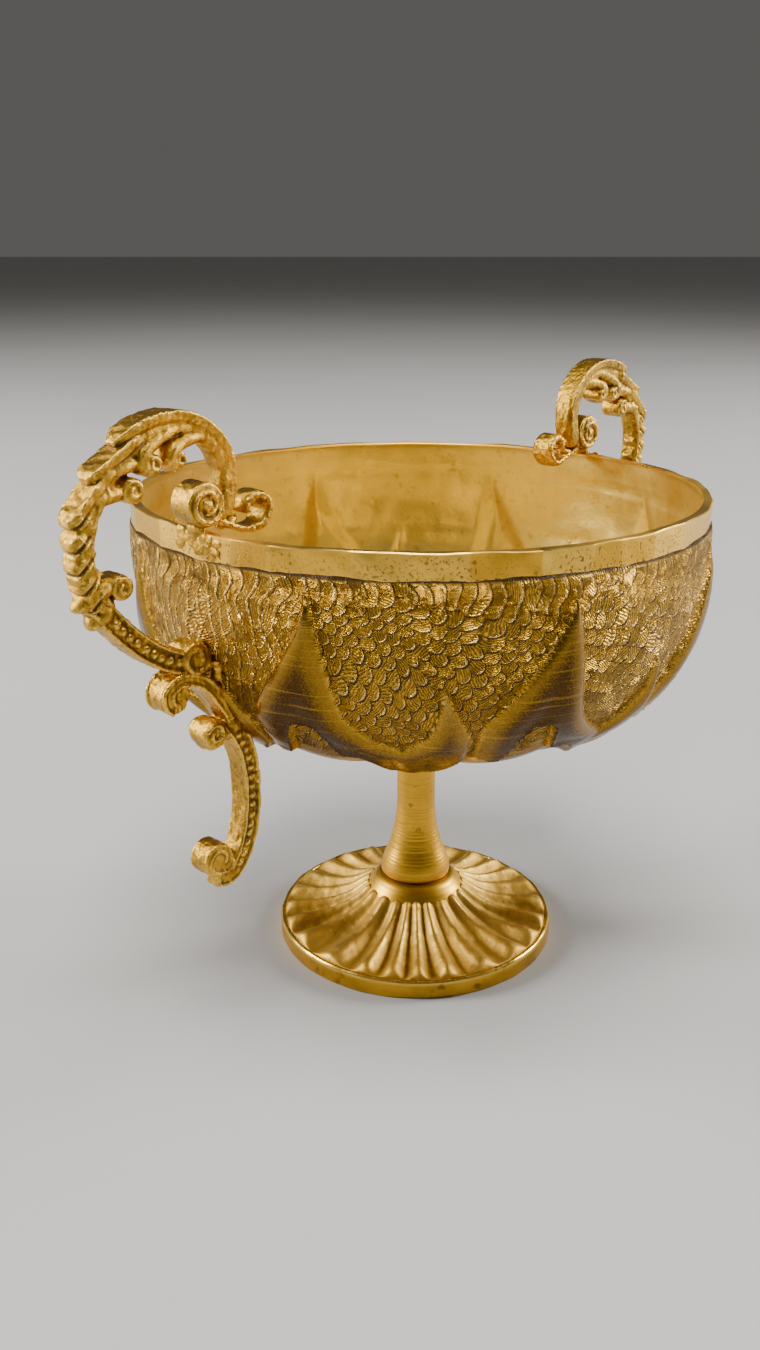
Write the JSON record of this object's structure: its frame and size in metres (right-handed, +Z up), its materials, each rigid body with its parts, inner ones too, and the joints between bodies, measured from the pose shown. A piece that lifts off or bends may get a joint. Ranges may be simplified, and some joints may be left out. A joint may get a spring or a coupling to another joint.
{
  "type": "footed ciborium bowl with two scroll handles",
  "caption": "Open gilt brass ciborium bowl with chased petals on a slim stem and fluted foot, held by scroll handles.",
  "frame": {"origin": "on the table under the centre of the foot", "axes": "+Z up along the stem, +X along the line through the two handles"},
  "size_m": [0.186, 0.13, 0.1371],
  "materials": {
    "bowl_gilt": "chased and gilt, satin",
    "band_gilt": "hammered and burnished",
    "turned_gilt": "turned, satin",
    "foot_gilt": "cast and worn, satin",
    "cast_gilt": "as cast, gilt, worn on the high places",
    "braze": "rough braze",
    "bare_brass": "turned, dull"
  },
  "bodies": {
    "root": {"bowl": "bowl_gilt", "rim_band": "band_gilt", "bowl_boss": "turned_gilt", "stem": "turned_gilt", "foot_collar": "turned_gilt", "foot": "foot_gilt", "foot_hoop": "foot_gilt", "tie_rod": "bare_brass", "foot_washer": "bare_brass", "foot_nut": "bare_brass", "left_upper_scroll": "cast_gilt", "left_rim_leaf": "cast_gilt", "left_bracket_scroll": "cast_gilt", "left_tail_scroll": "cast_gilt", "left_rim_braze": "braze", "left_wall_braze": "braze", "right_upper_scroll": "cast_gilt", "right_rim_leaf": "cast_gilt", "right_bracket_scroll": "cast_gilt", "right_tail_scroll": "cast_gilt", "right_rim_braze": "braze", "right_wall_braze": "braze"}
  },
  "joints": []
}
